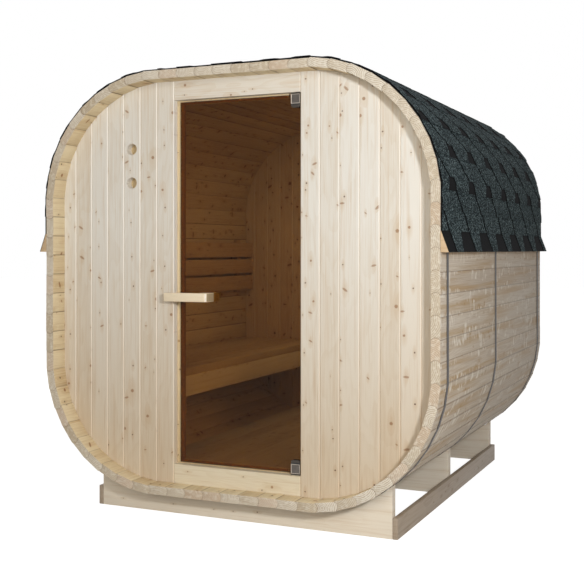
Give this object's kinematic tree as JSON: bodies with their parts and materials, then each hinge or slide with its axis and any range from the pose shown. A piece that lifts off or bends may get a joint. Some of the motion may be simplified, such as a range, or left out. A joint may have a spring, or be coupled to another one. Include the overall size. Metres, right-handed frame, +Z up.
{
  "type": "cube sauna",
  "caption": "Outdoor cube sauna: soft-cornered square shell of coved staves on cradles, board end walls, pivoting full-height glass door, bench inside, shingled roof.",
  "frame": {"origin": "on the ground, under the middle of the shell", "axes": "+Z up, front wall and door face -Y, +X to the right seen from the front"},
  "size_m": [2.133, 2.35, 2.1763],
  "materials": {
    "stave_pine": "rough-sawn outside, planed inside, untreated",
    "planed_spruce": "planed, untreated, small knots",
    "interior_spruce": "planed, untreated",
    "base_pine": "sawn softwood",
    "handle_wood": "sanded, light oil",
    "bitumen_shingle": "mineral granules on bitumen, grey-green with black shadow patches",
    "bronze_glass": "toughened, bronze tinted, polished edges",
    "polished_chrome": "polished",
    "dark_steel": "dark grey strap steel"
  },
  "bodies": {
    "sauna": {"staves_bottom": "stave_pine", "staves_bottom_right": "stave_pine", "staves_right": "stave_pine", "staves_top_right": "stave_pine", "staves_top": "stave_pine", "staves_top_left": "stave_pine", "staves_left": "stave_pine", "staves_bottom_left": "stave_pine", "front_wall_left": "planed_spruce", "front_wall_right": "planed_spruce", "door_header": "planed_spruce", "door_sill": "planed_spruce", "rear_wall_left": "planed_spruce", "rear_wall_middle": "planed_spruce", "rear_wall_right": "planed_spruce", "vent_slider": "interior_spruce", "door_stop_left": "planed_spruce", "door_stop_head": "planed_spruce", "door_stop_threshold": "planed_spruce", "pivot_plates": "dark_steel", "shingles_right": "bitumen_shingle", "shingles_top": "bitumen_shingle", "shingles_left": "bitumen_shingle", "eave_wedge_right": "base_pine", "eave_wedge_left": "base_pine", "strap_front": "dark_steel", "strap_middle": "dark_steel", "strap_rear": "dark_steel", "cradle_front": "base_pine", "cradle_middle": "base_pine", "cradle_rear": "base_pine", "base_rail_left": "base_pine", "base_rail_right": "base_pine", "floor_joists": "interior_spruce", "floor_deck": "interior_spruce", "bench_seat": "interior_spruce", "bench_fascia": "interior_spruce", "bench_bearers": "interior_spruce", "backrest_boards": "interior_spruce", "backrest_battens": "interior_spruce"},
    "door": {"door_glass": "bronze_glass", "hinge_clamp_top": "polished_chrome", "hinge_clamp_bottom": "polished_chrome", "door_handle_outer": "handle_wood", "door_handle_inner": "handle_wood"}
  },
  "joints": [
    {"name": "door_hinge", "type": "hinge", "parent": "sauna", "child": "door", "pos_m": [0.304, -1.0447, 1.14], "axis": [0, 0, 1], "range_deg": [0, 100]}
  ]
}
